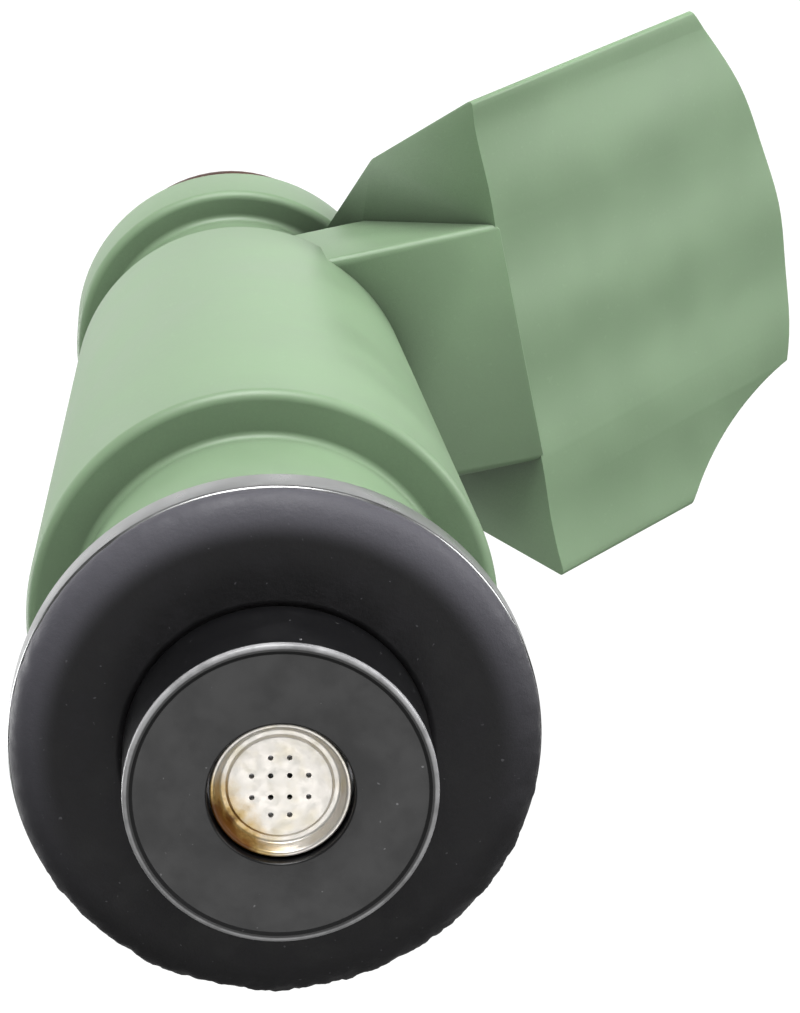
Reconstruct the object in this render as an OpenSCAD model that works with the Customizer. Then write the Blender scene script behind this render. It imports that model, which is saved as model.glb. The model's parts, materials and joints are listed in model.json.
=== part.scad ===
// Top-feed port fuel injector, millimetres.
// The injector's axis is Z: the spray face of the nozzle cap lies at z = 0 and fuel enters at the top.
// The electrical connector leans out towards +X and up towards the fuel inlet.

/* [Nozzle end] */
// Radius of the black nozzle cap
cap_r = 4.5; // [4.2:0.05:4.8]
// Radius of the round mouth in the cap's face
cap_mouth_r = 2.1; // [2.06:0.01:2.3]
// Thickness of the cap's front wall
cap_wall = 1.3; // [1.2:0.05:1.35]
// Depth of the spray plate below the cap's face
plate_z = 0.7; // [0.7:0.05:0.9]
// Diameter of one spray hole
spray_hole_d = 0.16; // [0.12:0.01:0.2]
// Sideways distance between spray holes
spray_pitch = 0.54; // [0.4:0.01:0.58]
// Outer radius of the rubber seal ring
seal_r = 7.9; // [7.7:0.05:8]
// Height of the seal ring's front face above the spray face
seal_z = 3.4; // [3.3:0.05:3.6]

/* [Body] */
// Radius of the green moulding at its front shoulder
body_front_r = 7.66; // [7.2:0.02:8]
// Radius of the green moulding where its taper ends
body_back_r = 6.5; // [6.2:0.05:7]
// Height of the front shoulder
shoulder_z = 15.6; // [15:0.1:16.5]
// Height where the taper ends and the groove begins
taper_top_z = 45; // [44:0.5:46]
// Radius of the rear flange
flange_r = 6.6; // [6.4:0.05:7]
// Height of the rear flange's top face
flange_top_z = 55; // [54:0.5:56]
// Total length of the injector
total_h = 64.5; // [64:0.5:66]

/* [Connector] */
// Lean of the connector's axis above level, in degrees
conn_tilt = 42; // [38:1:46]
// Height where the connector's axis meets the injector's axis
conn_root_z = 39.1; // [38.5:0.1:40]
// Distance along the connector's axis to the back of its shroud
shroud_start = 10.5; // [10:0.5:11.5]
// Distance along the connector's axis to its mouth
shroud_end = 27.3; // [26.3:0.5:30]
// Width of the shroud's face on the nozzle side
shroud_w = 19.8; // [19.4:0.1:20.4]
// Width of the shroud's face on the inlet side
shroud_far_w = 8.4; // [8.4:0.1:9.4]
// Thickness of the shroud
shroud_t = 10; // [9.8:0.1:11]
// Radius of the crown of the shroud's mouth
shroud_crown_r = 16.2; // [15:0.1:18]
// Thickness of the shroud's wall
shroud_wall = 1.3; // [1.1:0.05:1.4]
// Width of one terminal blade
blade_w = 2.3; // [1.8:0.1:2.4]
// Thickness of one terminal blade
blade_t = 0.64; // [0.5:0.02:0.8]

/* [Valve] */
// Radius of the valve ball
ball_r = 1.5; // [1.4:0.05:1.55]
// Radius of the armature
armature_r = 2.6; // [2.55:0.01:2.62]
// Opening stroke of the needle
lift = 0.1; // [0.05:0.01:0.12]
// Turns of the return spring
spring_turns = 8; // [6:1:9]

/* [Hidden] */
$fn = 96;
eps = 0.01;

// Nozzle end
cap_waist_r = cap_r - 0.2;
cap_shoulder_r = 6.4;
cap_shoulder_z = 5.7;
cap_top_z = 6.6;
nose_r = 3.2;
nose_bore_r = 2.9;
plate_t = 0.15;
plate_flat_r = 1.55;
plate_rim_r = 2.04;
plate_rim_z = 0.35;
spray_grid_turn = 11.7;
spray_row_gap = 0.65;
seat_z = plate_z + plate_t + 0.02;
seat_step_z = cap_wall + 0.06;
seat_top_z = 3;
seat_bore_r = 0.55;
cone_z = 1.5;
seat_clearance = 0.02;
ball_z = cone_z - seat_bore_r + ball_r * sqrt(2) + seat_clearance;
guide_top_z = 4.65;
guide_clearance = 0.04;
seal_bore_r = cap_waist_r + 0.02;
seal_lead_r = cap_r + 0.12;
seal_round = 0.8;
seal_heel_r = 7.4;
seal_heel_z = 5.3;
retainer_r = 7.85;
retainer_top_z = cap_shoulder_z;
neck_r = 5.2;

// Solenoid
guide_bore_r = armature_r + 0.05;
stem_r = 3;
housing_z = 11.5;
housing_top_z = 36;
housing_bore_r = 4.75;
spigot_r = 4.4;
spigot_top_z = 13.5;
bobbin_z = 14;
bobbin_top_z = 34.4;
bobbin_flange_t = 0.9;
bobbin_tube_r = 3.4;
iso_z = 19.5;
iso_top_z = 23;
armature_z = 16;
armature_top_z = 21;
tube_top_z = 18.5;
spring_seat_z = 19.5;
core_z = armature_top_z + lift + 0.05;
core_top_z = 44;
core_bore_r = 1.35;
sleeve_z = 27.5;
sleeve_top_z = 35;
tube_z = 4.15;
tube_r = 1;
tube_bore_r = 0.55;
spring_wire_r = 0.2;
spring_mean_r = 0.95;

// Inlet
inlet_z = 42;
inlet_r = 3.6;
inlet_bore_r = 3;
lip_r = 4.6;
lip_z = 62;
backup_z = 57.5;
backup_top_z = 59.5;
backup_r = 5.2;
o_ring_r = 0.95;
o_ring_z = 60.5;
filter_z = 48;
filter_top_z = 61.5;
collar_bore_r = 2.3;
mesh_r = 2.4;

// Green moulding
step_r = 6.1;
step_z = 11;
groove_r = 5.4;
groove_top_z = 51;
spigot_top_r = 4.6;
arm_w = 9.8;
arm_z = 42.4;
arm_top_z = 48;
socket_floor = 15.5;
shroud_mid_w = 14.9;
shroud_mid_x = -1.2;
notch_r = 14;
notch_y = 19.8;
notch_z = 28.5;
blade_y = 3.4;
blade_tip = 21;
blade_root = 3.6;

// A round solid between two heights
module rod(r, z0, z1) {
    translate([0, 0, z0]) cylinder(r = r, h = z1 - z0);
}

// A round sleeve between two heights
module sleeve(r, bore, z0, z1) {
    difference() {
        rod(r, z0, z1);
        rod(bore, z0 - 1, z1 + 1);
    }
}

// A cone between two heights
module cone(r0, r1, z0, z1) {
    translate([0, 0, z0]) cylinder(r1 = r0, r2 = r1, h = z1 - z0);
}

// Places its children on the connector's axis: their Z runs out along it and their X faces the nozzle
module on_connector() {
    translate([0, 0, conn_root_z]) rotate([0, 90 - conn_tilt, 0]) children();
}

// A corner b of an outline, between corners a and c, moved in by a distance
function inset_corner(a, b, c, inset) =
    let (u = (b - a) / norm(b - a), v = (c - b) / norm(c - b), m = [-u.y, u.x], n = [-v.y, v.x])
    b + inset * (m + n) / (1 + m * n);

// Section of the shroud: wide on the nozzle side (+X), narrow on the inlet side, inset all round
module shroud_section(inset) {
    half = [[shroud_t / 2, shroud_w / 2], [shroud_mid_x, shroud_mid_w / 2],
            [-shroud_t / 2, shroud_far_w / 2]];
    corners = [half[0], half[1], half[2], for (i = [2:-1:0]) [half[i].x, -half[i].y]];
    polygon([for (i = [0:5]) inset_corner(corners[(i + 5) % 6], corners[i], corners[(i + 1) % 6], inset)]);
}

// A rod across the shroud's thickness, at a place given across and along the connector
module cross_rod(r, y, along) {
    translate([-shroud_t, y, along]) rotate([0, 90, 0]) cylinder(r = r, h = 2 * shroud_t);
}

// Box given by two corners
module block(low, high) {
    translate(low) cube(high - low);
}

module nozzle_cap() {
    color("#2b2b2d") difference() {
        union() {
            rod(cap_r, 0, seal_z);
            rod(cap_waist_r, seal_z - eps, cap_shoulder_z + eps);
            rod(cap_shoulder_r, cap_shoulder_z, cap_top_z);
        }
        rod(cap_mouth_r, -1, cap_wall + eps);
        rod(nose_r + 0.02, cap_wall, cap_top_z + 1);
    }
}

// Positions of the twelve spray holes, in rows of two, four, four and two
function spray_holes() = [
    for (row = [0:3])
        let (end_row = row == 0 || row == 3, count = end_row ? 2 : 4, side = row < 2 ? -1 : 1,
             outer = end_row ? 1 : 0)
            for (i = [0:count - 1])
                [(i - (count - 1) / 2) * spray_pitch, side * (spray_row_gap / 2 + outer * spray_pitch)]
];

// Thin pressed cup: a flat floor with the spray holes and a rim that flares to the front
module spray_plate() {
    color("#e6dedb") difference() {
        union() {
            rod(plate_flat_r + plate_t, plate_z, plate_z + plate_t);
            cone(plate_rim_r, plate_flat_r + plate_t, plate_rim_z, plate_z + eps);
        }
        cone(plate_rim_r - plate_t, plate_flat_r, plate_rim_z - eps, plate_z);
        rotate(spray_grid_turn) for (p = spray_holes())
            translate([p[0], p[1], 0])
                rod(spray_hole_d / 2, plate_z - eps, plate_z + plate_t + eps, $fn = 24);
    }
}

module valve_seat() {
    color("#a9a9ac") difference() {
        union() {
            rod(2, seat_z, seat_step_z + eps);
            rod(nose_bore_r, seat_step_z, seat_top_z);
        }
        rod(seat_bore_r, seat_z - 1, seat_top_z);
        cone(seat_bore_r, seat_bore_r + seat_top_z - cone_z + eps, cone_z, seat_top_z + eps);
    }
}

// Guides the ball, with four slots for the fuel
module ball_guide() {
    color("#b5b5b8") difference() {
        sleeve(nose_bore_r, ball_r + guide_clearance, seat_top_z, guide_top_z);
        for (a = [45:90:315])
            rotate(a) block([1.2, -0.4, seat_top_z - 1], [2.4, 0.4, guide_top_z + 1]);
    }
}

module valve_ball() {
    color("#d4d4d6") translate([0, 0, ball_z]) sphere(r = ball_r);
}

module needle_tube() {
    color("#c4c4c6") difference() {
        sleeve(tube_r, tube_bore_r, tube_z, tube_top_z);
        translate([0, 0, ball_z]) sphere(r = ball_r);
        for (a = [0, 90])
            rotate([0, 90, a]) translate([-6, 0, 0]) cylinder(r = 0.35, h = 4, center = true);
    }
}

module armature() {
    color("#8f8f92") difference() {
        rod(armature_r, armature_z, armature_top_z);
        rod(tube_r, armature_z - 1, tube_top_z);
        rod(tube_bore_r, tube_top_z - eps, spring_seat_z + eps);
        rod(spring_mean_r + 0.35, spring_seat_z, armature_top_z + 1);
    }
}

module valve_body() {
    color("#9c9c9f") difference() {
        union() {
            rod(nose_r, seat_step_z, cap_top_z + 0.1 + eps);
            rod(neck_r, cap_top_z + 0.1, housing_z - 0.05);
            rod(spigot_r, housing_z - 0.1, spigot_top_z);
            rod(stem_r, spigot_top_z - eps, iso_z);
        }
        rod(nose_bore_r, seat_step_z - 1, guide_top_z);
        rod(2, guide_top_z - eps, armature_z - 0.5);
        rod(guide_bore_r, armature_z - 0.5 - eps, iso_z + 1);
    }
}

// Rubber ring: a flat face with a round shoulder, a chamfered bore that clears the cap, and a heel that
// sits in the steel retainer
module seal_ring() {
    lip_z = seal_z + seal_round;
    color("#29292c") rotate_extrude() {
        polygon([[seal_lead_r, seal_z], [seal_r - seal_round, seal_z], [seal_r - seal_round, lip_z],
            [seal_bore_r, lip_z], [seal_bore_r, seal_z + seal_lead_r - seal_bore_r]]);
        intersection() {
            translate([seal_r - seal_round, lip_z]) circle(r = seal_round, $fn = 64);
            translate([seal_lead_r, seal_z]) square([seal_r, seal_round]);
        }
        translate([seal_bore_r, lip_z - eps]) square([seal_heel_r - seal_bore_r, seal_heel_z - lip_z + eps]);
    }
}

module seal_retainer() {
    color("#c9cbca") {
        sleeve(retainer_r, seal_bore_r, seal_heel_z, retainer_top_z);
        sleeve(retainer_r, seal_heel_r, seal_z + seal_round + 0.05, seal_heel_z + eps);
    }
}

module solenoid_housing() {
    color("#8a8c8f") {
        sleeve(neck_r, housing_bore_r, housing_z, housing_top_z);
        sleeve(housing_bore_r + eps, spigot_r + 0.02, housing_z, spigot_top_z);
    }
}

module coil_bobbin() {
    color("#3a3733") {
        sleeve(bobbin_tube_r, stem_r + 0.05, bobbin_z, bobbin_top_z);
        for (z = [bobbin_z, bobbin_top_z - bobbin_flange_t])
            sleeve(housing_bore_r - 0.05, stem_r + 0.05, z, z + bobbin_flange_t);
    }
}

module coil_winding() {
    color("#b4622d") sleeve(housing_bore_r - 0.2, bobbin_tube_r + 0.02,
        bobbin_z + bobbin_flange_t + 0.05, bobbin_top_z - bobbin_flange_t - 0.05);
}

// Non-magnetic sleeve that bridges the gap between the armature and the core
module isolating_ring() {
    color("#cfc9b8") sleeve(stem_r, guide_bore_r + 0.01, iso_z, iso_top_z);
}

module fixed_core() {
    color("#97979a") difference() {
        union() {
            rod(guide_bore_r, core_z, iso_top_z + eps);
            rod(stem_r, iso_top_z, core_top_z);
        }
        rod(core_bore_r, core_z - 1, core_top_z + 1);
    }
}

module flux_plate() {
    color("#909295") difference() {
        sleeve(housing_bore_r - 0.02, stem_r + 0.02, bobbin_top_z + 0.1, housing_top_z);
        terminal_pair();
    }
}

function helix_centre(u) = let (a = 360 * spring_turns * u,
        z0 = spring_seat_z + spring_wire_r + 0.02, z1 = sleeve_z - spring_wire_r - 0.02)
    [spring_mean_r * cos(a), spring_mean_r * sin(a), z0 + (z1 - z0) * u];

function helix_point(u, k, sides) = let (a = 360 * spring_turns * u, b = 360 * k / sides, c = helix_centre(u))
    c + spring_wire_r * [cos(b) * cos(a), cos(b) * sin(a), sin(b)];

// Round wire wound in a helix, with cut ends
module return_spring() {
    sides = 8;
    steps = 20 * spring_turns;
    points = [for (i = [0:steps], k = [0:sides - 1]) helix_point(i / steps, k, sides)];
    walls = [for (i = [0:steps - 1], k = [0:sides - 1])
        [i * sides + k, (i + 1) * sides + k, (i + 1) * sides + (k + 1) % sides, i * sides + (k + 1) % sides]];
    start = [[for (k = [0:sides - 1]) k]];
    end = [[for (k = [sides - 1:-1:0]) steps * sides + k]];
    color("#c0c0c4") polyhedron(points, concat(walls, start, end));
}

module adjusting_sleeve() {
    color("#b8b8ba") sleeve(core_bore_r, 0.7, sleeve_z, sleeve_top_z);
}

module inlet_tube() {
    color("#c8c8ca") difference() {
        union() {
            rod(inlet_r, inlet_z, total_h);
            rod(lip_r, lip_z, total_h - 0.8);
            cone(lip_r, inlet_r, total_h - 0.8 - eps, total_h);
        }
        rod(inlet_bore_r, inlet_z - 1, total_h + 1);
    }
}

module filter_collar() {
    color("#b5963f") sleeve(inlet_bore_r, collar_bore_r, filter_top_z, total_h - 0.2);
}

// Moulded cage of the inlet filter: a closed foot, three ribs and a top ring
module filter_frame() {
    color("#d8d4c6") {
        rod(mesh_r + 0.2, filter_z, filter_z + 1);
        sleeve(inlet_bore_r - 0.02, collar_bore_r - 0.2, filter_top_z - 1.5, filter_top_z);
        for (a = [0:120:240])
            rotate(a) block([mesh_r + 0.02, -0.35, filter_z + 0.5], [mesh_r + 0.4, 0.35, filter_top_z - 1]);
    }
}

module filter_mesh() {
    color("#e4e2da") sleeve(mesh_r, mesh_r - 0.12, filter_z + 1, filter_top_z - 1.5);
}

module backup_ring() {
    color("#3b3b3d") sleeve(backup_r, inlet_r + 0.02, backup_z, backup_top_z);
}

module inlet_o_ring() {
    color("#5b3a2a") translate([0, 0, o_ring_z]) rotate_extrude()
        translate([inlet_r + o_ring_r, 0]) circle(r = o_ring_r, $fn = 48);
}

// One terminal: a blade along the connector and a lead that drops to the coil
module terminal(side) {
    on_connector() {
        block([-blade_t / 2, side * blade_y - blade_w / 2, blade_root],
            [blade_t / 2, side * blade_y + blade_w / 2, blade_tip - 1]);
        block([-blade_t / 2, side * blade_y - blade_w / 2 + 0.4, blade_tip - 1 - eps],
            [blade_t / 2, side * blade_y + blade_w / 2 - 0.4, blade_tip]);
    }
    root_x = blade_root * cos(conn_tilt);
    root_z = conn_root_z + blade_root * sin(conn_tilt);
    lead_w = 0.9;
    block([root_x - blade_t / 2, side * blade_y - lead_w / 2, bobbin_top_z + 0.02],
        [root_x + blade_t / 2, side * blade_y + lead_w / 2, root_z + 0.3]);
}

module terminal_pair() {
    for (side = [-1, 1]) terminal(side);
}

module terminal_plus() {
    color("#c9b37a") terminal(1);
}

module terminal_minus() {
    color("#c9b37a") terminal(-1);
}

// The shroud with its crowned mouth and notched corner, and the arm that joins it to the body
module connector_solid() {
    on_connector() difference() {
        intersection() {
            translate([0, 0, shroud_start]) linear_extrude(shroud_end - shroud_start) shroud_section(0);
            cross_rod(shroud_crown_r, 0, shroud_end - shroud_crown_r);
        }
        cross_rod(notch_r, notch_y, notch_z);
    }
    intersection() {
        block([0, -arm_w / 2, arm_z], [20, arm_w / 2, arm_top_z]);
        on_connector() block([-20, -arm_w, -20], [shroud_t / 2, arm_w, shroud_start + 0.5]);
    }
}

module overmould() {
    color("#8fb08d") difference() {
        union() {
            rod(step_r, step_z, shoulder_z + eps);
            cone(body_front_r, body_back_r, shoulder_z, taper_top_z);
            rod(groove_r, taper_top_z - eps, groove_top_z + eps);
            rod(flange_r, groove_top_z, flange_top_z);
            rod(spigot_top_r, flange_top_z - eps, backup_z);
            connector_solid();
        }
        rod(neck_r + 0.02, step_z - 1, housing_top_z + 0.2);
        rod(stem_r + 0.02, housing_top_z, inlet_z);
        rod(inlet_r + 0.02, inlet_z - eps, backup_z + 1);
        on_connector() translate([0, 0, socket_floor]) linear_extrude(shroud_end - socket_floor + 1)
            shroud_section(shroud_wall);
        terminal_pair();
    }
}

nozzle_cap();
spray_plate();
valve_seat();
ball_guide();
valve_ball();
needle_tube();
armature();
valve_body();
seal_ring();
seal_retainer();
solenoid_housing();
coil_bobbin();
coil_winding();
isolating_ring();
fixed_core();
flux_plate();
return_spring();
adjusting_sleeve();
inlet_tube();
filter_collar();
filter_frame();
filter_mesh();
backup_ring();
inlet_o_ring();
overmould();
terminal_plus();
terminal_minus();
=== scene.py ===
"""Fuel injector: its finished pieces, materials, studio and camera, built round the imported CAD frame."""

import json
import math

import bmesh
import bpy
from bpy.props import FloatProperty, FloatVectorProperty, IntProperty, PointerProperty, StringProperty
from mathutils import Matrix, Vector, noise


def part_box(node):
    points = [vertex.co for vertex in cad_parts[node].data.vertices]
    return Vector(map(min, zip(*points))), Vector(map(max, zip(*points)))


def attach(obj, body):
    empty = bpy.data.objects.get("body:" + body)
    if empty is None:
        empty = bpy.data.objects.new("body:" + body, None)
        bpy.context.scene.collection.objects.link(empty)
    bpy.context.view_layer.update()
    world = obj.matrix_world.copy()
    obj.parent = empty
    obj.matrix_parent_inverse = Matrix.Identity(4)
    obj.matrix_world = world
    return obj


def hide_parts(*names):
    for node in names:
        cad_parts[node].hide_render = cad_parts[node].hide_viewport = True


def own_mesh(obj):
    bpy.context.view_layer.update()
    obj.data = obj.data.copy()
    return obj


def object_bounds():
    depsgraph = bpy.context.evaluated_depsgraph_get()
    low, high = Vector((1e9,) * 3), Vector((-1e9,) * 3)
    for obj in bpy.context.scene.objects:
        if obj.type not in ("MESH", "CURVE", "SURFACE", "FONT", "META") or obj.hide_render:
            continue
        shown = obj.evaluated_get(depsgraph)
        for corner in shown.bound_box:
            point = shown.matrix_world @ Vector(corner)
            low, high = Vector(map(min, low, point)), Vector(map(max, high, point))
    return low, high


bl_info = {
    "name": "Fuel injector",
    "version": (1, 0, 0),
    "blender": (4, 5, 0),
    "location": "3D View > Sidebar > Injector",
    "description": "Builds a top-feed fuel injector round its CAD frame",
    "category": "Add Mesh",
}

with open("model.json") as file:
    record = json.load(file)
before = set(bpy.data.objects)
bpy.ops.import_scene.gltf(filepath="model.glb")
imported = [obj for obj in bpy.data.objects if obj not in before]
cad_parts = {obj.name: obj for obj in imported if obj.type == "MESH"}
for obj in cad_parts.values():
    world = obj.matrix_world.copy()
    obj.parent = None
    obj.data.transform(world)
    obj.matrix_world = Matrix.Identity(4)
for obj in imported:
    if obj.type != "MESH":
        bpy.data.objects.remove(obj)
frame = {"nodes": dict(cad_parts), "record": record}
CAD_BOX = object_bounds()
NODES = frame["nodes"]
MM = 0.001
NEARLY_STRAIGHT = math.radians(89)
SAME_POINT = 1e-7


def top_of(node):
    """Height of a CAD node's highest point, in metres."""
    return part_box(node)[1].z


def foot_of(node):
    """Height of a CAD node's lowest point, in metres."""
    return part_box(node)[0].z


def radius_of(node):
    """Outer radius of a round CAD node, in metres."""
    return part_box(node)[1].x


def mount(name):
    """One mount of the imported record."""
    return next(m for m in frame["record"]["mounts"] if m["name"] == name)


def cap_radius():
    """Radius of the nozzle cap, in metres."""
    return mount("port_nose")["dims"]["r_mm"] * MM


def length(name, description, default_mm):
    """A length property whose default is given in millimetres."""
    return FloatProperty(name=name, description=description, default=default_mm * MM,
                         min=0, unit="LENGTH", subtype="DISTANCE", precision=5)


def colour(name, description, default):
    """A colour property kept as an sRGB hex value."""
    return StringProperty(name=name, description=description, default=default)


def power(name, watts):
    """A light's power."""
    return FloatProperty(name=name, description=f"Power of the {name.lower()} light", default=watts, min=0,
                         unit="POWER", precision=4)


class InjectorNozzleSizes(bpy.types.PropertyGroup):
    """Sizes of the pieces at the spray end."""

    cap_edge: length("Cap edge", "Rounding of the cap's front edge", 0.26)
    cap_lip: length("Cap lip", "How far the cap's face lies behind its rim", 0.04)
    cap_mouth_r: length("Cap mouth", "Radius of the round mouth in the cap's face", 2.1)
    cap_mouth_edge: length("Mouth edge", "Rounding of the mouth's edge", 0.06)
    cap_wall: length("Cap wall", "Thickness of the cap's front wall", 1.3)
    cap_bore_r: length("Cap bore", "Radius of the cap's bore", 3.22)
    cap_waist_r: length("Cap waist", "Radius of the waist that the seal ring sits on", 4.3)
    plate_flat_r: length("Plate floor", "Radius of the spray plate's flat floor", 1.5)
    plate_t: length("Plate thickness", "Thickness of the spray plate's metal", 0.15)
    spray_pitch: length("Spray pitch", "Distance between spray holes in a row", 0.54)
    spray_row_gap: length("Row gap", "Distance between the two middle rows", 0.65)
    spray_hole_r: length("Spray hole", "Radius of a spray hole", 0.08)
    seal_bore_r: length("Seal bore", "Radius of the seal ring's bore", 4.32)
    seal_lead: length("Seal lead-in", "Chamfer of the seal ring's bore", 0.3)
    seal_heel_r: length("Seal heel", "Radius of the heel that sits in the retainer", 7.38)
    seal_round: length("Seal shoulder", "Rounding of the seal ring's shoulder", 1.3)
    seal_wear: length("Seal wear", "Height of the crumbs on the ring's worn edge", 0.1)
    neck_r: length("Neck", "Radius of the steel neck behind the seal", 5.2)


class InjectorMouldingSizes(bpy.types.PropertyGroup):
    """Sizes of the green moulding."""

    step_r: length("Front step", "Radius of the narrow step at the front", 6.1)
    shoulder_z: length("Shoulder", "Height of the front shoulder", 15.6)
    front_r: length("Front radius", "Radius at the front shoulder", 7.66)
    back_r: length("Back radius", "Radius where the taper ends", 6.5)
    taper_top_z: length("Taper end", "Height where the taper ends", 45)
    groove_r: length("Groove", "Radius of the rear groove", 5.4)
    groove_top_z: length("Groove top", "Height of the groove's top", 51)
    flange_r: length("Flange", "Radius of the rear flange", 6.6)
    flange_top_z: length("Flange top", "Height of the flange's top face", 55)
    spigot_r: length("Spigot", "Radius of the collar above the flange", 4.6)
    edge: length("Edge", "Rounding of the moulding's edges", 0.35)
    arm_w: length("Arm width", "Width of the arm that carries the shroud", 9.8)
    arm_z: length("Arm underside", "Height of the arm's underside", 42.4)
    arm_top_z: length("Arm top", "Height of the arm's top", 48)
    root_z: length("Connector root", "Height where the connector's axis meets the injector's", 39.1)
    shroud_start: length("Shroud start", "Distance along the connector to the shroud's back", 10.5)
    shroud_end: length("Shroud end", "Distance along the connector to its mouth", 27.3)
    shroud_w: length("Shroud width", "Width of the shroud's face on the nozzle side", 19.8)
    shroud_mid_w: length("Shroud middle width", "Width of the shroud where its sides turn inward", 14.9)
    shroud_mid_x: FloatProperty(name="Shroud turn", default=-1.2 * MM, unit="LENGTH", precision=5,
                                description="Place of that turn across the shroud's thickness")
    shroud_far_w: length("Shroud far width", "Width of the shroud's face on the inlet side", 8.4)
    shroud_t: length("Shroud thickness", "Thickness of the shroud", 10)
    shroud_crown: length("Mouth crown", "Radius of the crown of the shroud's mouth", 16.2)
    shroud_wall: length("Shroud wall", "Thickness of the shroud's wall", 1.3)
    socket_floor: length("Socket floor", "Distance along the connector to the socket's floor", 15.5)
    notch_r: length("Notch", "Radius of the notch in the shroud's corner", 14)
    notch_y: length("Notch place", "Distance of the notch's centre from the connector's axis", 19.8)
    notch_z: length("Notch reach", "Distance along the connector to the notch's centre", 28.5)
    relief: length("Relief", "Depth of the shallow channels along the shroud's face", 0.12)


class InjectorColours(bpy.types.PropertyGroup):
    """Colours of the injector's materials, as sRGB hex values."""

    green: colour("Green plastic", "Colour of the green moulding", "#92AE8B")
    cap: colour("Cap plastic", "Colour of the black nozzle cap", "#121214")
    rubber: colour("Rubber", "Colour of the seal ring", "#1D1C1F")
    o_ring: colour("O-ring rubber", "Colour of the inlet O-ring", "#4A2A1E")
    steel: colour("Steel", "Colour of turned steel", "#A9A9AC")
    bright: colour("Bright steel", "Colour of pressed stainless steel", "#A9AAAA")
    core: colour("Core steel", "Colour of the dull magnetic parts", "#85868A")
    plate: colour("Spray plate", "Colour of the etched spray plate", "#FBF3EC")
    varnish: colour("Varnish", "Colour of dried fuel", "#7A4A10")
    brass: colour("Brass", "Colour of the filter's collar", "#C9A45A")
    contact: colour("Contact tin", "Colour of the tinned contacts", "#C9C3B0")
    copper: colour("Copper wire", "Colour of the enamelled winding wire", "#B5652F")
    nylon: colour("Nylon", "Colour of the filter's cage and mesh", "#E4E0D2")
    bobbin: colour("Bobbin plastic", "Colour of the coil bobbin", "#3B3936")
    floor: colour("Floor", "Colour of the floor", "#E6E6E4")


class InjectorStudio(bpy.types.PropertyGroup):
    """The camera and the lights."""

    eye: FloatVectorProperty(name="Eye", description="Where the camera stands", unit="LENGTH",
                             default=(4.24 * MM, -37.58 * MM, -96.21 * MM), precision=5)
    look: FloatVectorProperty(name="Look", description="Direction the camera looks in",
                              default=(0.0070, 0.2972, 0.9548), precision=4)
    up: FloatVectorProperty(name="Up", description="Direction that is up in the picture",
                            default=(0.2059, -0.9348, 0.2894), precision=4)
    lens: FloatProperty(name="Lens", description="Focal length on a 36 mm sensor",
                        default=129.7, unit="CAMERA")
    key_power: power("Key", 0.25)
    left_power: power("Left", 0.11)
    right_power: power("Right", 0.11)
    low_power: power("Low", 0.005)
    front_power: power("Front", 0.0025)
    ambient: FloatProperty(name="Ambient", description="Strength of the even light", default=0.1)
    backdrop: FloatProperty(name="Backdrop", description="Brightness of the backdrop to the camera",
                            default=0.85)
    spread: FloatProperty(name="Spread", description="Spread of each light", default=math.radians(70),
                          subtype="ANGLE")
    ceiling: FloatProperty(name="Ceiling", description="Strength of the lit ceiling", default=1.1)
    segments: IntProperty(name="Segments", description="Sides of every round piece", default=160, min=24)


# ---------------------------------------------------------------- shapes


def rounded(points, steps=6):
    """A closed outline of (a, b, radius) corners, with each corner rounded to its radius."""
    out = []
    for i, (a, b, radius) in enumerate(points):
        here = Vector((a, b))
        before = Vector(points[i - 1][:2]) - here
        after = Vector(points[(i + 1) % len(points)][:2]) - here
        half = before.angle(after) / 2 if radius > 0 else math.pi
        if half > NEARLY_STRAIGHT:
            out.append(here)
            continue
        longest = 0.49 * min(before.length, after.length)
        reach = min(radius / math.tan(half), longest)
        radius = reach * math.tan(half)
        centre = here + (before.normalized() + after.normalized()).normalized() * radius / math.sin(half)
        start = here + before.normalized() * reach - centre
        end = here + after.normalized() * reach - centre
        sweep = start.angle_signed(end)
        for k in range(steps + 1):
            turn = Matrix.Rotation(-sweep * k / steps, 2)
            out.append(centre + turn @ start)
    return out


def piece(name, points, faces, crease=35):
    """A new mesh object, smooth but for edges sharper than the crease angle."""
    mesh = bpy.data.meshes.new(name)
    mesh.from_pydata([tuple(p) for p in points], [], faces)
    obj = bpy.data.objects.new(name, mesh)
    bpy.context.scene.collection.objects.link(obj)
    return finish_mesh(obj, crease)


def finish_mesh(obj, crease=35):
    """Cleans a mesh, turns its faces outward and shades it smooth between its creases."""
    bm = bmesh.new()
    bm.from_mesh(obj.data)
    bmesh.ops.remove_doubles(bm, verts=bm.verts, dist=SAME_POINT)
    bmesh.ops.dissolve_degenerate(bm, edges=bm.edges, dist=SAME_POINT / 10)
    bmesh.ops.recalc_face_normals(bm, faces=bm.faces)
    bm.to_mesh(obj.data)
    bm.free()
    obj.data.shade_smooth()
    obj.data.set_sharp_from_angle(angle=math.radians(crease))
    return obj


def lathe(name, outline, segments, crease=35):
    """Turns a closed outline of (radius, height) points round the Z axis."""
    points, faces = [], []
    count = len(outline)
    for i in range(segments):
        a = 2 * math.pi * i / segments
        points += [(p[0] * math.cos(a), p[0] * math.sin(a), p[1]) for p in outline]
    for i in range(segments):
        j = (i + 1) % segments
        for k in range(count):
            m = (k + 1) % count
            faces.append((i * count + k, j * count + k, j * count + m, i * count + m))
    return piece(name, points, faces, crease)


def loft(name, rings, place=None, crease=35):
    """A closed solid through rings of equal point count, capped at both ends."""
    count = len(rings[0])
    points = [place(p) if place else p for ring in rings for p in ring]
    faces = []
    for i in range(len(rings) - 1):
        for k in range(count):
            m = (k + 1) % count
            faces.append((i * count + k, i * count + m, (i + 1) * count + m, (i + 1) * count + k))
    faces.append(tuple(range(count)))
    faces.append(tuple((len(rings) - 1) * count + k for k in range(count)))
    return piece(name, points, faces, crease)


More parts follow.
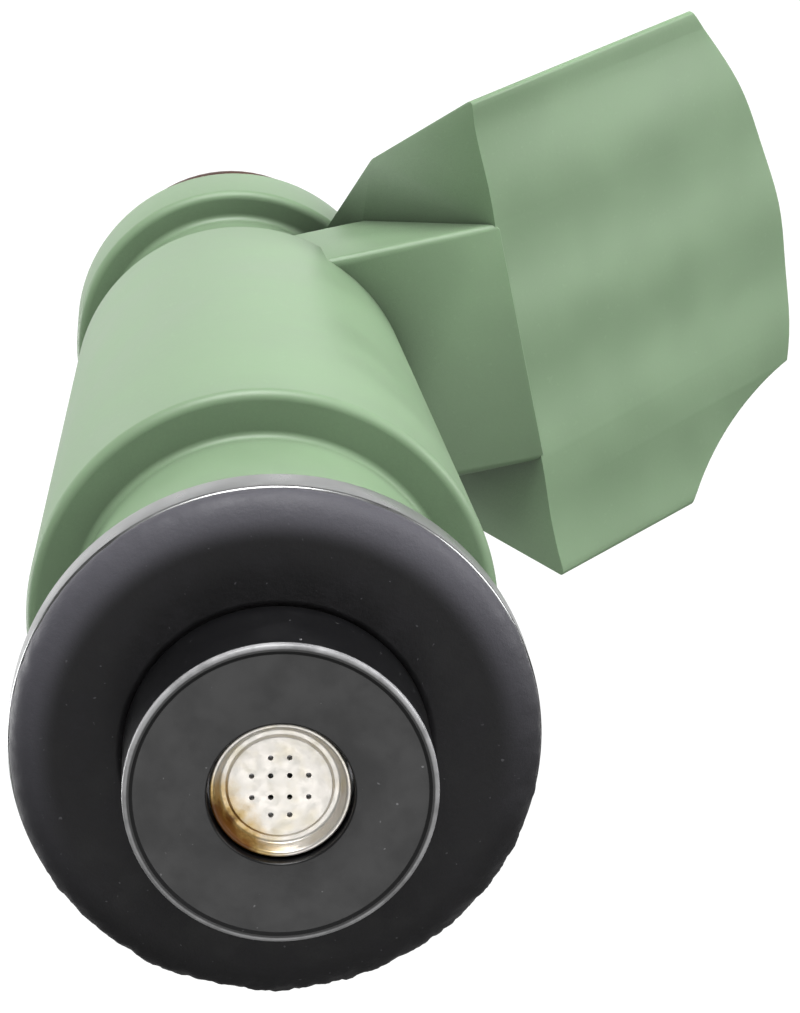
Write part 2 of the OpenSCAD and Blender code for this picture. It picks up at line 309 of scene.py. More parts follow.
def circle(radius, steps):
    """Points (x, y) evenly spaced round a circle."""
    turns = (2 * math.pi * i / steps for i in range(steps))
    return [(radius * math.cos(a), radius * math.sin(a)) for a in turns]


def apply_modifiers(obj):
    """Bakes an object's modifiers into its mesh."""
    depsgraph = bpy.context.evaluated_depsgraph_get()
    mesh = bpy.data.meshes.new_from_object(obj.evaluated_get(depsgraph))
    obj.modifiers.clear()
    obj.data = mesh
    return obj


def combine(base, tool, operation):
    """Joins a tool to the base, or cuts it out, and removes the tool."""
    cut = base.modifiers.new("combine", "BOOLEAN")
    cut.operation = operation
    cut.solver = "EXACT"
    cut.object = tool
    apply_modifiers(base)
    bpy.data.objects.remove(tool)
    return finish_mesh(base)


def bevel(obj, width, segments=3, angle=50):
    """Rounds the edges sharper than an angle."""
    edge = obj.modifiers.new("edge", "BEVEL")
    edge.width = width
    edge.segments = segments
    edge.limit_method = "ANGLE"
    edge.angle_limit = math.radians(angle)
    edge.use_clamp_overlap = True
    apply_modifiers(obj)
    return finish_mesh(obj)


def settle(obj, body, slot, material, *nodes):
    """Gives a finished piece its material and body, and lets it stand for its CAD nodes."""
    obj.data.materials.clear()
    obj.data.materials.append(material)
    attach(obj, body)
    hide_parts(*nodes)


# ---------------------------------------------------------------- materials


def linear(hex_value):
    """An sRGB hex value as a linear colour with full alpha."""
    channels = [int(hex_value[i:i + 2], 16) / 255 for i in (1, 3, 5)]
    return tuple(c / 12.92 if c <= 0.04045 else ((c + 0.055) / 1.055) ** 2.4 for c in channels) + (1,)


def add(tree, kind, inputs=None, **settings):
    """Adds a node, sets its settings, and fills or links its inputs."""
    node = tree.nodes.new(kind)
    for key, value in settings.items():
        setattr(node, key, value)
    for key, value in (inputs or {}).items():
        if isinstance(value, bpy.types.NodeSocket):
            tree.links.new(value, node.inputs[key])
        else:
            node.inputs[key].default_value = value
    return node


def blank(name):
    """A new material, its node tree and its Principled shader."""
    material = bpy.data.materials.new(name)
    material.use_nodes = True
    tree = material.node_tree
    tree.nodes.clear()
    shader = add(tree, "ShaderNodeBsdfPrincipled")
    add(tree, "ShaderNodeOutputMaterial", {"Surface": shader.outputs[0]})
    return material, tree, shader


def position(tree):
    """The point on the object, in metres."""
    return add(tree, "ShaderNodeTexCoord").outputs["Object"]


def grains(tree, size_mm, detail=3.0, rough=0.6, stretch=(1, 1, 1)):
    """Noise whose grains are about size_mm across, from 0 to 1."""
    point = add(tree, "ShaderNodeMapping", {"Vector": position(tree), "Scale": stretch}).outputs[0]
    return add(tree, "ShaderNodeTexNoise", {
        "Vector": point, "Scale": 1 / (size_mm * MM), "Detail": detail, "Roughness": rough}).outputs["Fac"]


def ramp(tree, value, low, high, to_low=0.0, to_high=1.0):
    """Maps a value from one range to another, smoothly and clamped."""
    return add(tree, "ShaderNodeMapRange", {"Value": value, "From Min": low, "From Max": high,
               "To Min": to_low, "To Max": to_high}, interpolation_type="SMOOTHSTEP").outputs["Result"]


def colour_mix(tree, factor, a, b):
    """Mixes two colours by a factor from 0 to 1."""
    return add(tree, "ShaderNodeMix", {0: factor, 6: a, 7: b}, data_type="RGBA").outputs[2]


def multiply(tree, a, b):
    """The product of two values."""
    return add(tree, "ShaderNodeMath", {0: a, 1: b}, operation="MULTIPLY").outputs[0]


def along_axis(tree, name):
    """One coordinate of the point on the object, in metres."""
    return add(tree, "ShaderNodeSeparateXYZ", {0: position(tree)}).outputs[name]


def bump(tree, shader, height, distance_mm, strength=1.0):
    """Drives the shader's normal from a height."""
    node = add(tree, "ShaderNodeBump", {"Height": height, "Distance": distance_mm * MM, "Strength": strength})
    tree.links.new(node.outputs[0], shader.inputs["Normal"])


def tint(hex_value, factor):
    """A colour lightened or darkened by a factor."""
    return tuple(min(1.0, c * factor) for c in linear(hex_value)[:3]) + (1,)


def glass_filled_pbt(colours):
    """Green PBT with short glass fibre: satin, faintly mottled, with a fine moulded grain.

    The mottle gives the eye a moulding that cooled unevenly. The fibre's streaks are drawn 0.25 mm long,
    coarser than the real fibre, so that they show. Recesses and nooks are darkened by ambient occlusion:
    painted shade.
    """
    material, tree, shader = blank("glass_filled_pbt_green")
    cloud = grains(tree, 6.0, 2.0)
    mottle = ramp(tree, cloud, 0.35, 0.65)
    base = colour_mix(tree, mottle, tint(colours.green, 0.95), tint(colours.green, 1.05))
    fibre = grains(tree, 0.25, 2.0, stretch=(1, 1, 0.4))
    base = colour_mix(tree, ramp(tree, fibre, 0.62, 0.75, 0, 0.18), base, tint(colours.green, 1.25))
    # Painted shade: the base colour darkens towards deep green in recesses and nooks, by ambient occlusion.
    painted_recess_shade = add(tree, "ShaderNodeAmbientOcclusion", {"Distance": 14 * MM}, samples=8).outputs["AO"]
    base = colour_mix(tree, ramp(tree, painted_recess_shade, 0.3, 0.85), tint(colours.green, 0.25), base)
    tree.links.new(base, shader.inputs["Base Color"])
    tree.links.new(ramp(tree, cloud, 0.3, 0.7, 0.42, 0.52), shader.inputs["Roughness"])
    shader.inputs["IOR"].default_value = 1.55
    shader.inputs["Subsurface Weight"].default_value = 0.06
    shader.inputs["Subsurface Radius"].default_value = (0.4 * MM, 0.8 * MM, 0.4 * MM)
    shader.inputs["Subsurface Scale"].default_value = 1.0
    bump(tree, shader, grains(tree, 0.3, 4.0), 0.01, 0.5)
    return material


def ring_distance(tree):
    """Distance from the injector's axis, in metres."""
    flat = add(tree, "ShaderNodeMapping", {"Vector": position(tree), "Scale": (1, 1, 0)}).outputs[0]
    return add(tree, "ShaderNodeVectorMath", {0: flat}, operation="LENGTH").outputs["Value"]


def gloss_pbt(colours):
    """Black PBT from a polished mould: glossy, with dust specks, and a painted highlight on its front rim.

    The gloss gives the eye a dark mirror with a soft edge, and the painted rim highlight a thin pale line
    round it.
    """
    material, tree, shader = blank("gloss_pbt_black")
    rim_r = cap_radius()
    dust = ramp(tree, grains(tree, 0.22, 1.0, 0.5), 0.76, 0.82)
    film = grains(tree, 1.6, 4.0)
    base = colour_mix(tree, dust, linear(colours.cap), linear("#8A8A8C"))
    base = colour_mix(tree, ramp(tree, film, 0.5, 0.75, 0, 0.04), base, linear("#59595B"))
    # Painted highlight: a pale, uneven band round the cap's front rim.
    painted_rim_highlight = multiply(tree, ramp(tree, ring_distance(tree), rim_r - 0.16 * MM, rim_r - 0.1 * MM),
                      ramp(tree, along_axis(tree, "Z"), 0.16 * MM, 0.24 * MM, 1, 0))
    painted_rim_highlight = multiply(tree, painted_rim_highlight, ramp(tree, grains(tree, 1.1, 3.0), 0.3, 0.6, 0.55, 1))
    base = colour_mix(tree, painted_rim_highlight, base, linear("#C4C4C6"))
    tree.links.new(base, shader.inputs["Base Color"])
    tree.links.new(ramp(tree, film, 0.35, 0.7, 0.3, 0.35), shader.inputs["Roughness"])
    shader.inputs["IOR"].default_value = 1.55
    bump(tree, shader, grains(tree, 0.12, 3.0), 0.003, 0.4)
    return material


def moulded_rubber(name, hex_value, grain=1.0, bloom_and_highlight_from=None):
    """Moulded rubber: matte, with a fine grain, pale dust and, from a radius outward, a pale shoulder of
    bloom and painted highlight.

    The grain gives the eye a soft dark surface without a sharp highlight. The pale shoulder is partly chalky
    rubber and partly a painted highlight on the outer shoulder, strongest on the side at -Y, towards the key
    light.
    """
    material, tree, shader = blank(name)
    cloud = grains(tree, 1.2, 5.0, 0.65)
    base = colour_mix(tree, ramp(tree, cloud, 0.4, 0.75), linear(hex_value), tint(hex_value, 1.8))
    speck = ramp(tree, grains(tree, 0.18, 1.0, 0.5), 0.74, 0.8, 0, 0.5)
    base = colour_mix(tree, speck, base, linear("#77767B"))
    if bloom_and_highlight_from:
        # Pale shoulder: partly chalky bloom, partly a painted highlight on the -Y side, where the key light
        # falls.
        outer = ramp(tree, ring_distance(tree), bloom_and_highlight_from, bloom_and_highlight_from + 0.8 * MM)
        painted_highlight_side = ramp(tree, along_axis(tree, "Y"), -5 * MM, 5 * MM, 0.85, 0)
        base = colour_mix(tree, multiply(tree, outer, painted_highlight_side), base, linear("#5F5E66"))
    tree.links.new(base, shader.inputs["Base Color"])
    tree.links.new(ramp(tree, cloud, 0.3, 0.7, 0.5, 0.66), shader.inputs["Roughness"])
    shader.inputs["IOR"].default_value = 1.52
    shader.inputs["Sheen Weight"].default_value = 0.25
    shader.inputs["Sheen Roughness"].default_value = 0.35
    bump(tree, shader, grains(tree, 0.14, 6.0, 0.7), 0.02 * grain, 0.8)
    return material


def turned_metal(name, hex_value, roughness, groove_mm=0.12):
    """Turned or rolled metal: fine rings round the axis and uneven polish.

    The rings give the eye a highlight that is drawn out along the axis. They stand wider apart than a
    real tool leaves them, so that they show.
    """
    material, tree, shader = blank(name)
    rings = grains(tree, groove_mm, 3.0, 0.5, (0.02, 0.02, 1))
    cloud = grains(tree, 1.5, 3.0)
    base = colour_mix(tree, cloud, tint(hex_value, 0.88), tint(hex_value, 1.08))
    tree.links.new(base, shader.inputs["Base Color"])
    polish = ramp(tree, cloud, 0.25, 0.75, roughness - 0.06, roughness + 0.1)
    tree.links.new(polish, shader.inputs["Roughness"])
    shader.inputs["Metallic"].default_value = 1.0
    bump(tree, shader, rings, 0.006, 0.5)
    return material


def varnish_mask(tree, reach_low, reach_high):
    """Where dried fuel has run: a ragged patch on the side of the recess away from the connector.

    The reaches are millimetres from the axis, with up to 1 mm of raggedness added.
    """
    side = add(tree, "ShaderNodeVectorMath", {0: position(tree), 1: (-0.905 / MM, 0.425 / MM, 0)},
               operation="DOT_PRODUCT").outputs["Value"]
    ragged = add(tree, "ShaderNodeMath", {0: side, 1: grains(tree, 0.5, 4.0)}, operation="ADD").outputs[0]
    return ramp(tree, ragged, reach_low, reach_high)


def etched_plate(colours):
    """Spray plate of thin stainless sheet: frosted by etching, with varnish on one side of its rim.

    The frosting gives the eye a pale, even sheet, and the varnish runs from straw to amber and dulls it.
    """
    material, tree, shader = blank("etched_stainless_plate")
    cloud = grains(tree, 0.35, 5.0, 0.7)
    base = colour_mix(tree, cloud, tint(colours.plate, 0.94), tint(colours.plate, 1.1))
    yellowed = varnish_mask(tree, 1.3, 2.2)
    amber = varnish_mask(tree, 1.95, 2.35)
    base = colour_mix(tree, ramp(tree, grains(tree, 0.8, 2.0), 0.45, 0.8, 0, 0.35), base, linear("#E8D9A8"))
    base = colour_mix(tree, yellowed, base, linear("#D9B871"))
    base = colour_mix(tree, amber, base, linear(colours.varnish))
    tree.links.new(base, shader.inputs["Base Color"])
    tree.links.new(ramp(tree, amber, 0, 1, 0.8, 0.1), shader.inputs["Metallic"])
    tree.links.new(ramp(tree, cloud, 0.2, 0.8, 0.3, 0.42), shader.inputs["Roughness"])
    bump(tree, shader, cloud, 0.01, 0.5)
    return material


def plain_plastic(name, hex_value, roughness):
    """Small moulded plastic part: satin, with a faint grain that softens its highlight."""
    material, tree, shader = blank(name)
    cloud = grains(tree, 1.0, 3.0)
    base = colour_mix(tree, cloud, tint(hex_value, 0.9), tint(hex_value, 1.1))
    tree.links.new(base, shader.inputs["Base Color"])
    shader.inputs["Roughness"].default_value = roughness
    shader.inputs["IOR"].default_value = 1.5
    bump(tree, shader, grains(tree, 0.2, 3.0), 0.008, 0.5)
    return material


def wound_wire(colours):
    """Enamelled copper wire, wound in turns 0.2 mm apart, which give the eye fine glossy ribs with painted
    shade between turns.
    """
    material, tree, shader = blank("enamelled_copper_wire")
    turns = multiply(tree, along_axis(tree, "Z"), 2 * math.pi / (0.2 * MM))
    wave = add(tree, "ShaderNodeMath", {0: turns}, operation="SINE").outputs[0]
    # Painted shade: the colour darkens in the hollows between turns.
    base = colour_mix(tree, ramp(tree, wave, -1, 1), tint(colours.copper, 0.6), tint(colours.copper, 1.1))
    tree.links.new(base, shader.inputs["Base Color"])
    shader.inputs["Metallic"].default_value = 0.85
    shader.inputs["Roughness"].default_value = 0.3
    bump(tree, shader, wave, 0.05, 0.7)
    return material


MATERIALS = {}


def make_materials(colours):
    """Fills the table of materials, one per finish."""
    MATERIALS.update({
        "green": glass_filled_pbt(colours),
        "cap": gloss_pbt(colours),
        "rubber": moulded_rubber("moulded_nitrile_black", colours.rubber,
                                 bloom_and_highlight_from=radius_of("seal_ring") - 1.5 * MM),
        "o_ring": moulded_rubber("moulded_fluororubber_brown", colours.o_ring, 0.5),
        "bright": turned_metal("pressed_stainless", colours.bright, 0.3),
        "steel": turned_metal("turned_steel", colours.steel, 0.36),
        "core": turned_metal("machined_magnet_steel", colours.core, 0.45),
        "plate": etched_plate(colours),
        "brass": turned_metal("pressed_brass", colours.brass, 0.3),
        "contact": turned_metal("tinned_bronze", colours.contact, 0.32),
        "copper": wound_wire(colours),
        "nylon": plain_plastic("moulded_nylon_natural", colours.nylon, 0.45),
        "bobbin": plain_plastic("moulded_nylon_black", colours.bobbin, 0.5),
        "spacer": plain_plastic("moulded_pbt_black", colours.cap, 0.4),
    })


# ---------------------------------------------------------------- operators


class InjectorStep(bpy.types.Operator):
    """Shared settings of the injector's operators"""

    bl_options = {"REGISTER", "UNDO"}

    @property
    def nozzle(self):
        return bpy.context.scene.injector_nozzle

    @property
    def moulding(self):
        return bpy.context.scene.injector_moulding

    @property
    def studio(self):
        return bpy.context.scene.injector_studio


class INJECTOR_OT_materials(InjectorStep):
    """Make every material of the injector"""

    bl_idname = "injector.materials"
    bl_label = "Materials"

    def execute(self, context):
        make_materials(context.scene.injector_colours)
        return {"FINISHED"}


class INJECTOR_OT_nozzle_cap(InjectorStep):
    """Make the glossy black nozzle cap with its round recess"""

    bl_idname = "injector.nozzle_cap"
    bl_label = "Nozzle cap"

    def execute(self, context):
        size = self.nozzle
        cap_r = cap_radius()
        seat_z = mount("seal_face")["pos_m"][2]
        shoulder_r, top_z = radius_of("nozzle_cap"), top_of("nozzle_cap")
        shoulder_z = top_of("seal_retainer") + 0.02 * MM
        outline = rounded([
            (size.cap_mouth_r, size.cap_lip, size.cap_mouth_edge),
            (cap_r - 0.3 * MM, size.cap_lip, 0.05 * MM),
            (cap_r - 0.2 * MM, 0, 0.04 * MM),
            (cap_r, 0, size.cap_edge),
            (cap_r, seat_z, 0),
            (size.cap_waist_r, seat_z, 0),
            (size.cap_waist_r, shoulder_z, 0),
            (shoulder_r, shoulder_z, 0.2 * MM),
            (shoulder_r, top_z, 0.2 * MM),
            (size.cap_bore_r, top_z, 0),
            (size.cap_bore_r, size.cap_wall, 0),
            (size.cap_mouth_r, size.cap_wall, 0),
        ])
        cap = lathe("moulded_cap", outline, self.studio.segments)
        settle(cap, "injector", "black_plastic", MATERIALS["cap"], "nozzle_cap")
        return {"FINISHED"}


class INJECTOR_OT_spray_plate(InjectorStep):
    """Make the pressed spray plate with its twelve holes"""

    bl_idname = "injector.spray_plate"
    bl_label = "Spray plate"
    turn: FloatProperty(name="Turn", description="Turn of the hole pattern", default=math.radians(11.7),
                        subtype="ANGLE")

    def holes(self):
        """Centres of the spray holes: rows of two, four, four and two."""
        size = self.nozzle
        for row, count in enumerate((2, 4, 4, 2)):
            side = -1 if row < 2 else 1
            outer = 1 if count == 2 else 0
            y = side * (size.spray_row_gap / 2 + outer * size.spray_pitch)
            for i in range(count):
                yield Matrix.Rotation(self.turn, 2) @ Vector(((i - (count - 1) / 2) * size.spray_pitch, y))

    def execute(self, context):
        size = self.nozzle
        rim_r, rim_z, back_z = radius_of("spray_plate"), foot_of("spray_plate"), top_of("spray_plate")
        face_z = back_z - size.plate_t
        flat_r = size.plate_flat_r
        inner_r = flat_r / 2
        wall_r = rim_r - 0.3 * MM
        groove_z = face_z + 0.07 * MM
        past = 0.2 * MM
        outline = rounded([
            (inner_r, face_z, 0),
            (flat_r, face_z, 0.05 * MM),
            (flat_r + 0.05 * MM, groove_z, 0.03 * MM),
            (wall_r, groove_z, 0.1 * MM),
            (rim_r - 0.16 * MM, rim_z, 0.08 * MM),
            (rim_r, rim_z, 0.05 * MM),
            (wall_r + size.plate_t, back_z, 0.05 * MM),
            (inner_r, back_z, 0),
        ])
        cup = lathe("spray_cup", outline, self.studio.segments)
        disc = loft("cup_floor", [[(x, y, z) for x, y in circle(inner_r, self.studio.segments)]
                                  for z in (face_z, back_z)])
        cup = combine(cup, disc, "UNION")
        for x, y in self.holes():
            drill = loft("drill", [[(x + dx, y + dy, z) for dx, dy in circle(size.spray_hole_r, 20)]
                                   for z in (face_z - past, back_z + past)])
            combine(cup, drill, "DIFFERENCE")
        settle(cup, "injector", "bright_steel", MATERIALS["plate"], "spray_plate")
        return {"FINISHED"}


class INJECTOR_OT_seal_ring(InjectorStep):
    """Make the rubber seal ring with its worn edge"""

    bl_idname = "injector.seal_ring"
    bl_label = "Seal ring"

    def wear(self, point, rim_r):
        """Moves a point of the ring's outer edge by small crumbs and dents, most of all at +Y."""
        radius = point.xy.length
        reach = self.nozzle.seal_round
        edge = max(0.0, min(1.0, (radius - rim_r + reach) / reach))
        if not edge:
            return
        crumb, dent = 0.55 * MM, 2.3 * MM
        rough = noise.fractal(point / crumb, 0.8, 2.1, 4) + 0.6 * noise.noise(point / dent)
        worn = 0.3 + 0.7 * max(0.0, point.y / radius)
        push = edge * worn * self.nozzle.seal_wear * max(-1.0, min(1.0, rough))
        point.xy *= 1 + push / radius

    def execute(self, context):
        size = self.nozzle
        face_z, back_z = foot_of("seal_ring"), top_of("seal_ring")
        rim_r = radius_of("seal_ring") - size.seal_wear
        shoulder_depth, gap = 0.82 * MM, 0.02 * MM
        flat_steps, round_steps = 24, 14
        bore_r, lip_z = size.seal_bore_r, face_z + shoulder_depth
        start_r, shoulder_r = bore_r + size.seal_lead, rim_r - size.seal_round
        outline = [Vector((bore_r, face_z + size.seal_lead))]
        outline += [Vector((start_r + (shoulder_r - start_r) * i / flat_steps, face_z))
                    for i in range(flat_steps + 1)]
        for k in range(1, round_steps + 1):
            a = math.pi / 2 * k / round_steps
            outline.append(Vector((shoulder_r + size.seal_round * math.sin(a),
                                   face_z + shoulder_depth * (1 - math.cos(a)))))
        outline += [Vector((size.seal_heel_r, lip_z)), Vector((size.seal_heel_r, back_z - gap)),
                    Vector((bore_r, back_z - gap))]
        ring = lathe("rubber_seal", outline, 3 * self.studio.segments, 60)
        for vertex in ring.data.vertices:
            if vertex.co.z < lip_z + 0.001 * MM:
                self.wear(vertex.co, rim_r)
        settle(ring, "injector", "black_rubber", MATERIALS["rubber"], "seal_ring")
        return {"FINISHED"}


class INJECTOR_OT_retainer(InjectorStep):
    """Make the pressed steel retainer behind the rubber ring"""

    bl_idname = "injector.retainer"
    bl_label = "Seal retainer"

    def execute(self, context):
        outer, foot, top = radius_of("seal_retainer"), foot_of("seal_retainer"), top_of("seal_retainer")
        bore, heel_r = self.nozzle.seal_bore_r, self.nozzle.seal_heel_r + 0.02 * MM
        floor_z = top - 0.4 * MM
        outline = rounded([
            (bore, floor_z, 0), (heel_r, floor_z, 0), (heel_r, foot, 0.05 * MM), (outer, foot, 0.12 * MM),
            (outer, top, 0.25 * MM), (bore, top, 0)])
        flange = lathe("pressed_retainer", outline, self.studio.segments)
        settle(flange, "injector", "bright_steel", MATERIALS["bright"], "seal_retainer")
        return {"FINISHED"}


class INJECTOR_OT_moulding(InjectorStep):
    """Make the green moulding: body, rear flange, arm and shroud"""

    bl_idname = "injector.moulding"
    bl_label = "Green moulding"

    def along(self, point):
        """Places a point given in the connector's own frame: towards the nozzle, across, outward."""
        axis = Vector(mount("connector")["axis"])
        towards_nozzle = Vector((axis.z, 0, -axis.x))
        return (Vector((0, 0, self.moulding.root_z)) + towards_nozzle * point[0]
                + Vector((0, point[1], 0)) + axis * point[2])

    def section(self, inset, corner, relief=0.0):
        """Outline of the shroud, inset all round, with shallow channels along its near face."""
        size = self.moulding
        half = [Vector((size.shroud_t / 2, size.shroud_w / 2)),
                Vector((size.shroud_mid_x, size.shroud_mid_w / 2)),
                Vector((-size.shroud_t / 2, size.shroud_far_w / 2))]
        outer = half + [Vector((p.x, -p.y)) for p in reversed(half)]
        corners = []
        for i, here in enumerate(outer):
            u = (here - outer[i - 1]).normalized()
            v = (outer[(i + 1) % 6] - here).normalized()
            m, n = Vector((-u.y, u.x)), Vector((-v.y, v.x))
            moved = here + inset * (m + n) / (1 + m.dot(n))
            corners.append((moved.x, moved.y, corner))
        near_x, near_y = corners[0][:2]
        face = []
        steps = 40
        for i in range(steps - 1, 0, -1) if relief else ():
            y = near_y * (1 - 2 * i / steps)
            fade = min(1.0, (near_y - abs(y)) / MM)
            channel = 0.5 - 0.5 * math.cos(y / MM * 1.15 + 0.6)
            face.append((near_x - relief * fade * channel, y, 0))
        return rounded(corners + face)

    def cross_rod(self, radius, y, along):
        """A rod across the shroud's thickness."""
        reach = self.moulding.shroud_t
        ends = circle(radius, self.studio.segments)
        return loft("rod", [[(x, y + across, along + out) for across, out in ends] for x in (-reach, reach)],
                    self.along)

    def body(self):
        """The turned part of the moulding, solid."""
        size = self.moulding
        edge = size.edge
        foot, top = foot_of("overmould"), foot_of("backup_ring")
        core_r = 0.5 * MM  # inside the bore that is cut out later
        return lathe("green_moulding", rounded([
            (core_r, foot, 0), (size.step_r, foot, edge), (size.step_r, size.shoulder_z, 0.25 * MM),
            (size.front_r, size.shoulder_z, edge), (size.back_r, size.taper_top_z, edge),
            (size.groove_r, size.taper_top_z, 0.3 * MM), (size.groove_r, size.groove_top_z, 0.3 * MM),
            (size.flange_r, size.groove_top_z, edge), (size.flange_r, size.flange_top_z, edge),
            (size.spigot_r, size.flange_top_z, 0.2 * MM), (size.spigot_r, top, 0.15 * MM), (core_r, top, 0),
        ]), self.studio.segments)

    def shroud(self):
        """The shroud with its crowned mouth, notched corner and socket."""
        size = self.moulding
        start, end = size.shroud_start, size.shroud_end

        def prism(inset, corner, relief, low, high):
            return loft("shroud", [[(x, y, s) for x, y in self.section(inset, corner, relief)]
                                   for s in (low, high)], self.along)

        shell = prism(0, 0.7 * MM, size.relief, start, end)
        combine(shell, self.cross_rod(size.shroud_crown, 0, end - size.shroud_crown), "INTERSECT")
        combine(shell, self.cross_rod(size.notch_r, size.notch_y, size.notch_z), "DIFFERENCE")
        combine(shell, prism(size.shroud_wall, 0.5 * MM, 0, size.socket_floor, end + MM), "DIFFERENCE")
        return bevel(shell, 0.3 * MM)

    def arm(self):
        """The block that joins the shroud to the body."""
        size = self.moulding
        axis = Vector(mount("connector")["axis"])

        def reach(z):
            return (size.shroud_start + 0.15 * MM - (z - size.root_z) * axis.z) / axis.x

        corners = [(0, size.arm_z), (reach(size.arm_z), size.arm_z),
                   (reach(size.arm_top_z), size.arm_top_z), (0, size.arm_top_z)]
        half = size.arm_w / 2
        block = loft("arm", [[(x, y, z) for x, z in corners] for y in (-half, half)])
        return bevel(block, 0.25 * MM)

    def bore(self):
        """The stepped hollow that holds the solenoid and the inlet tube."""
        tight, inner_r = 0.02 * MM, 0.2 * MM
        housing_r, core_r = radius_of("solenoid_housing") + tight, radius_of("fixed_core") + tight
        inlet_r = 3.6 * MM + tight
        foot, top = foot_of("overmould") - MM, foot_of("backup_ring") + 0.5 * MM
        housing_z, inlet_z = top_of("solenoid_housing") + 10 * tight, foot_of("inlet_tube")
        return lathe("bore", [Vector(p) for p in (
            (inner_r, foot), (housing_r, foot), (housing_r, housing_z), (core_r, housing_z),
            (core_r, inlet_z), (inlet_r, inlet_z), (inlet_r, top), (inner_r, top))], self.studio.segments)

    def execute(self, context):
        body = self.body()
        for make in (self.shroud, self.arm):
            combine(body, make(), "UNION")
        combine(body, self.bore(), "DIFFERENCE")
        settle(body, "injector", "green_plastic", MATERIALS["green"], "overmould")
        return {"FINISHED"}


class INJECTOR_OT_inner_pieces(InjectorStep):
    """Give the inner pieces and the inlet end their finishes"""

    bl_idname = "injector.inner_pieces"
    bl_label = "Inner pieces and inlet"

    def execute(self, context):
        finishes = {
            "steel": ("valve_body", "valve_seat", "ball_guide", "isolating_ring", "adjusting_sleeve"),
            "core": ("solenoid_housing", "fixed_core", "flux_plate", "armature"),
            "bright": ("valve_ball", "needle_tube", "inlet_tube"),
            "brass": ("filter_collar",),
            "contact": ("terminal_plus", "terminal_minus"),
            "copper": ("coil_winding",),
            "nylon": ("filter_frame", "filter_mesh"),
            "bobbin": ("coil_bobbin",),
            "spacer": ("backup_ring",),
            "o_ring": ("inlet_o_ring",),
        }
        for finish, names in finishes.items():
            for name in names:
                slots = NODES[name].data.materials
                slots.clear()
                slots.append(MATERIALS[finish])
        return {"FINISHED"}


class INJECTOR_OT_return_spring(InjectorStep):
    """Make the return spring from round wire"""

    bl_idname = "injector.return_spring"
    bl_label = "Return spring"
    turns: IntProperty(name="Turns", description="Turns of the spring", default=8)

    def execute(self, context):
        lo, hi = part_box("return_spring")
        wire_r = 0.2 * MM
        mean_r = hi.x - wire_r
        steps, sides = 48 * self.turns, 12
        rings = []
        for i in range(steps + 1):
            a = 2 * math.pi * self.turns * i / steps
            out = Vector((math.cos(a), math.sin(a), 0))
            centre = out * mean_r + Vector((0, 0, lo.z + wire_r + (hi.z - lo.z - 2 * wire_r) * i / steps))
            rings.append([centre + out * wire_r * math.cos(b) + Vector((0, 0, wire_r * math.sin(b)))
                          for b in (2 * math.pi * k / sides for k in range(sides))])
        spring = loft("spring_wire", rings)
        settle(spring, "injector", "bright_steel", MATERIALS["bright"], "return_spring")
        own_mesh(spring)
        return {"FINISHED"}


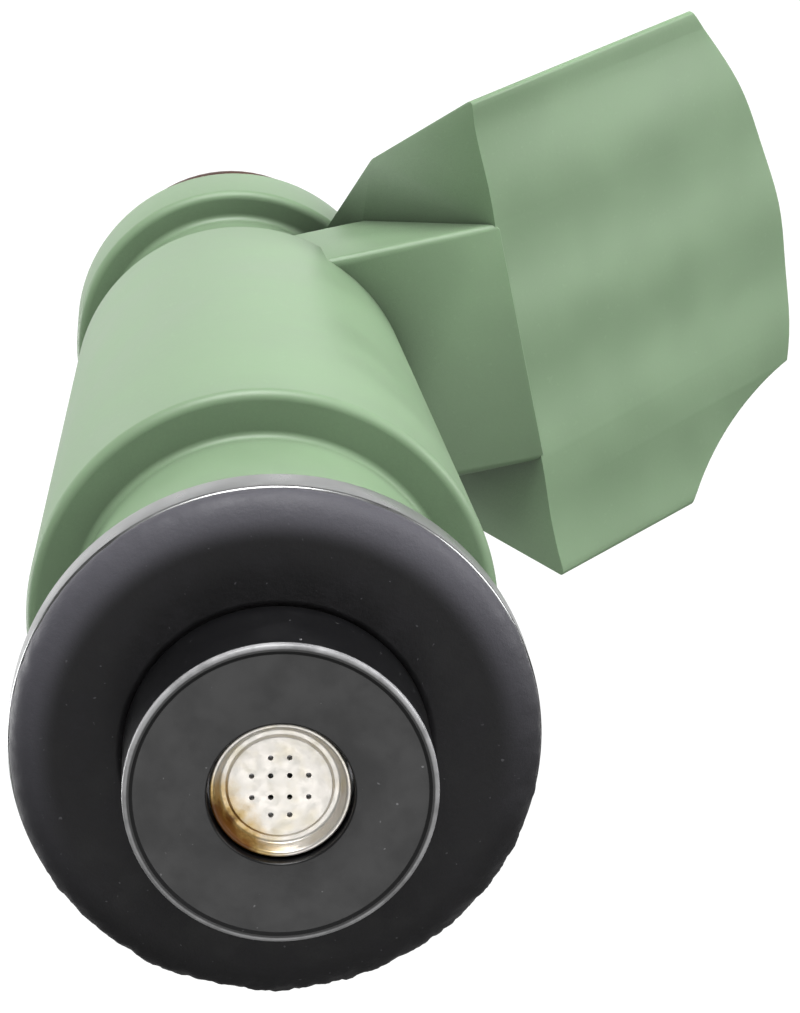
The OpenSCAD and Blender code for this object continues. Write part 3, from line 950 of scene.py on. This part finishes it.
class INJECTOR_OT_stage(InjectorStep):
    """Make the floor, the lit ceiling, the lights and the camera"""

    bl_idname = "injector.stage"
    bl_label = "Stage"

    def sheet(self, name, height, half, material):
        """A square sheet of the stage at a height."""
        sheet = piece(name, [(-half, -half, height), (half, -half, height), (half, half, height),
                             (-half, half, height)], [(0, 1, 2, 3)])
        sheet.data.materials.append(material)

    def area(self, name, place, target, size, power):
        """A soft area light aimed at a point."""
        data = bpy.data.lights.new(name, "AREA")
        data.shape, data.size, data.energy, data.spread = "DISK", size, power, self.studio.spread
        lamp = bpy.data.objects.new(name, data)
        bpy.context.scene.collection.objects.link(lamp)
        lamp.location = place
        lamp.rotation_euler = (Vector(target) - Vector(place)).to_track_quat("-Z", "Y").to_euler()

    def execute(self, context):
        studio = self.studio
        scene = context.scene
        paper, tree, shader = blank("studio_paper")
        floor = context.scene.injector_colours.floor
        pale = linear(floor)
        tree.links.new(colour_mix(tree, grains(tree, 40.0, 2.0), tint(floor, 0.98), pale),
                       shader.inputs["Base Color"])
        shader.inputs["Roughness"].default_value = 0.9
        shader.inputs["Emission Color"].default_value = pale
        seen = add(tree, "ShaderNodeLightPath").outputs["Is Camera Ray"]
        tree.links.new(ramp(tree, seen, 0, 1, 0, 0.55), shader.inputs["Emission Strength"])
        self.sheet("floor", -0.2, 4.0, paper)
        glow = bpy.data.materials.new("lit_ceiling")
        glow.use_nodes = True
        glow.node_tree.nodes.clear()
        light = add(glow.node_tree, "ShaderNodeEmission", {"Strength": studio.ceiling})
        add(glow.node_tree, "ShaderNodeOutputMaterial", {"Surface": light.outputs[0]})
        self.sheet("ceiling", 0.9, 0.5, glow)
        world = bpy.data.worlds.new("studio")
        world.use_nodes = True
        world.node_tree.nodes.clear()
        seen = add(world.node_tree, "ShaderNodeLightPath").outputs["Is Camera Ray"]
        level = add(world.node_tree, "ShaderNodeMapRange", {"Value": seen, "To Min": studio.ambient,
                    "To Max": studio.backdrop}).outputs["Result"]
        sky = add(world.node_tree, "ShaderNodeBackground", {"Color": (1, 1, 1, 1), "Strength": level})
        add(world.node_tree, "ShaderNodeOutputWorld", {"Surface": sky.outputs[0]})
        scene.world = world
        middle = (CAD_BOX[0] + CAD_BOX[1]) / 2
        self.area("key", (0.05, -0.34, -0.04), middle, 0.24, studio.key_power)
        self.area("left", (-0.3, 0, 0.2), middle, 0.2, studio.left_power)
        self.area("right", (0.35, -0.08, 0.02), middle, 0.2, studio.right_power)
        self.area("low", (0.05, 0.35, 0.1), middle, 0.2, studio.low_power)
        self.area("front", (-0.0066, 0.0587, -0.15), (0, 0, 0), 0.05, studio.front_power)
        data = bpy.data.cameras.new("camera")
        data.lens, data.sensor_width, data.clip_start = studio.lens, 36, 1 * MM
        camera = bpy.data.objects.new("camera", data)
        scene.collection.objects.link(camera)
        camera.location = studio.eye
        back = -Vector(studio.look).normalized()
        right = Vector(studio.up).cross(back).normalized()
        camera.rotation_euler = Matrix((right, back.cross(right), back)).transposed().to_euler()
        scene.camera = camera
        scene.view_settings.view_transform = "Standard"
        return {"FINISHED"}


class INJECTOR_PT_panel(bpy.types.Panel):
    """The injector's operators and sizes"""

    bl_idname = "INJECTOR_PT_panel"
    bl_label = "Fuel injector"
    bl_space_type = "VIEW_3D"
    bl_region_type = "UI"
    bl_category = "Injector"

    def draw(self, context):
        for step in STEPS:
            self.layout.operator(step.bl_idname)
        for group in ("injector_nozzle", "injector_moulding", "injector_colours", "injector_studio"):
            box = self.layout.box()
            settings = getattr(context.scene, group)
            for name in settings.bl_rna.properties.keys():
                if name not in ("rna_type", "name"):
                    box.prop(settings, name)


GROUPS = {
    "injector_nozzle": InjectorNozzleSizes,
    "injector_moulding": InjectorMouldingSizes,
    "injector_colours": InjectorColours,
    "injector_studio": InjectorStudio,
}
STEPS = (INJECTOR_OT_stage, INJECTOR_OT_materials, INJECTOR_OT_nozzle_cap, INJECTOR_OT_spray_plate,
         INJECTOR_OT_seal_ring, INJECTOR_OT_retainer, INJECTOR_OT_moulding,
         INJECTOR_OT_inner_pieces, INJECTOR_OT_return_spring)


def register():
    """Registers the classes and hangs the settings on the scene."""
    for group in GROUPS.values():
        bpy.utils.register_class(group)
    for step in STEPS:
        bpy.utils.register_class(step)
    bpy.utils.register_class(INJECTOR_PT_panel)
    for name, group in GROUPS.items():
        setattr(bpy.types.Scene, name, PointerProperty(type=group))


def unregister():
    """Undoes register."""
    for name in GROUPS:
        delattr(bpy.types.Scene, name)
    for cls in (INJECTOR_PT_panel, *reversed(STEPS), *GROUPS.values()):
        bpy.utils.unregister_class(cls)


def main():
    register()
    for step in STEPS:
        group, name = step.bl_idname.split(".")
        getattr(getattr(bpy.ops, group), name)()


if __name__ == "__main__":
    main()
